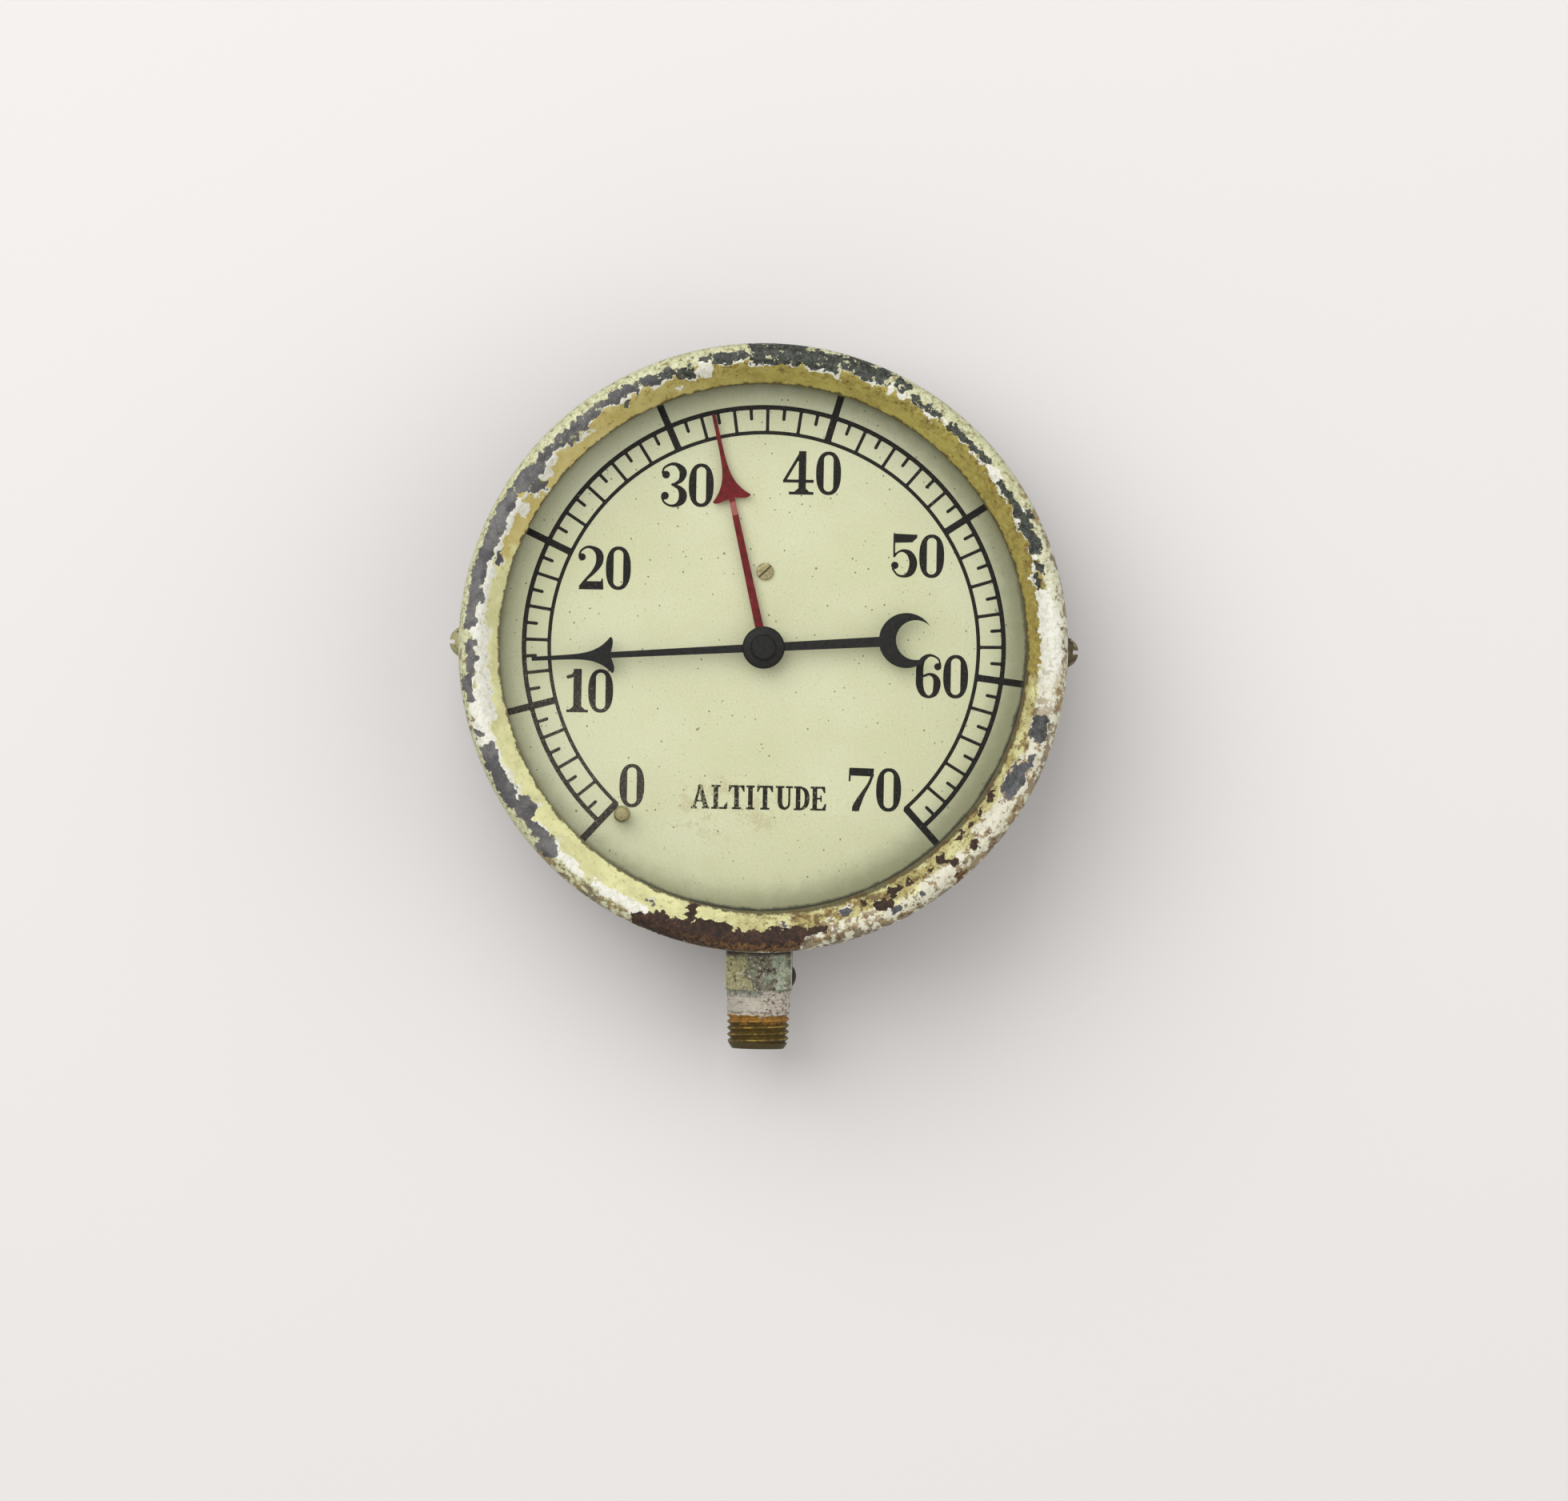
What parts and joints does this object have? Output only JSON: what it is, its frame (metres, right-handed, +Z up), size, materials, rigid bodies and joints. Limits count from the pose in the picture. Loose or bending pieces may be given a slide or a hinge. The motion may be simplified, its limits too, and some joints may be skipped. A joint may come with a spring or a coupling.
{
  "type": "altitude gauge",
  "caption": "Round bottom-connected altitude gauge of a heating system: Bourdon-tube movement, black pointer, red set hand, glazed ring and square stem with pipe thread.",
  "frame": {"origin": "on the stem axis, at the hand-tight plane of the pipe thread", "axes": "+Z up along the stem towards the dial, -Y is where the dial faces, +X right seen from the front"},
  "size_m": [0.137, 0.0498, 0.1542],
  "materials": {
    "ring_paint": "cream paint, chipped to white undercoat, dark steel and rust",
    "case_iron": "black japanned casting, worn",
    "glass": "clear flat glass",
    "gasket": "fibre ring",
    "dial_paint": "aged cream dial paint",
    "black_paint": "satin black",
    "red_paint": "satin red",
    "brass": "aged brass",
    "steel": "plain steel"
  },
  "bodies": {
    "housing": {"case": "case_iron", "ring": "ring_paint", "ring_screws": "brass", "glass": "glass", "glass_gasket": "gasket", "dial": "dial_paint", "dial_screw": "brass", "stop_pin": "brass", "set_hand_bush": "brass", "set_hand_washer": "steel", "back_plate": "brass", "front_plate": "brass", "pillars": "brass", "plate_screws": "steel", "dial_post": "brass", "movement_screws": "steel", "case_screws": "steel", "socket": "brass", "socket_plug": "brass", "bourdon_tube": "brass", "hairspring": "steel"},
    "pointer": {"pinion_arbor": "steel", "pointer_hub": "black_paint", "pointer_hand": "black_paint"},
    "sector": {"sector_gear": "brass", "sector_arbor": "steel", "tail_pin": "steel"},
    "link": {"link": "brass"},
    "tube_end": {"tube_tip": "brass", "tip_pin": "steel"},
    "set_hand": {"set_hand": "red_paint"}
  },
  "joints": [
    {"name": "sector_swing", "type": "hinge", "parent": "housing", "child": "sector", "pos_m": [0.01625, 0, 0.0615], "axis": [0, 1, 0], "range_deg": [-23.14, 4.38]},
    {"name": "pointer_spin", "type": "hinge", "parent": "housing", "child": "pointer", "pos_m": [0, 0, 0.0823], "axis": [0, 1, 0], "range_deg": [-43.8, 231.4], "deforming": ["hairspring"]},
    {"name": "link_swing", "type": "hinge", "parent": "sector", "child": "link", "pos_m": [0.02337, 0, 0.0552], "axis": [0, 1, 0], "range_deg": [-4.38, 23.14]},
    {"name": "tube_flex", "type": "hinge", "parent": "housing", "child": "tube_end", "pos_m": [-0.00524, 0, 0.088], "axis": [0, 1, 0], "range_deg": [-5.27, 1], "deforming": ["bourdon_tube"]},
    {"name": "set_hand_turn", "type": "hinge", "parent": "housing", "child": "set_hand", "pos_m": [0, 0, 0.0823], "axis": [0, 1, 0], "range_deg": [-124.5, 229.52]}
  ],
  "couplings": [
    {"joint": "pointer_spin", "follows": "sector_swing", "ratio": -10},
    {"joint": "link_swing", "follows": "sector_swing", "ratio": -1},
    {"joint": "tube_flex", "follows": "sector_swing", "ratio": 0.22782}
  ]
}
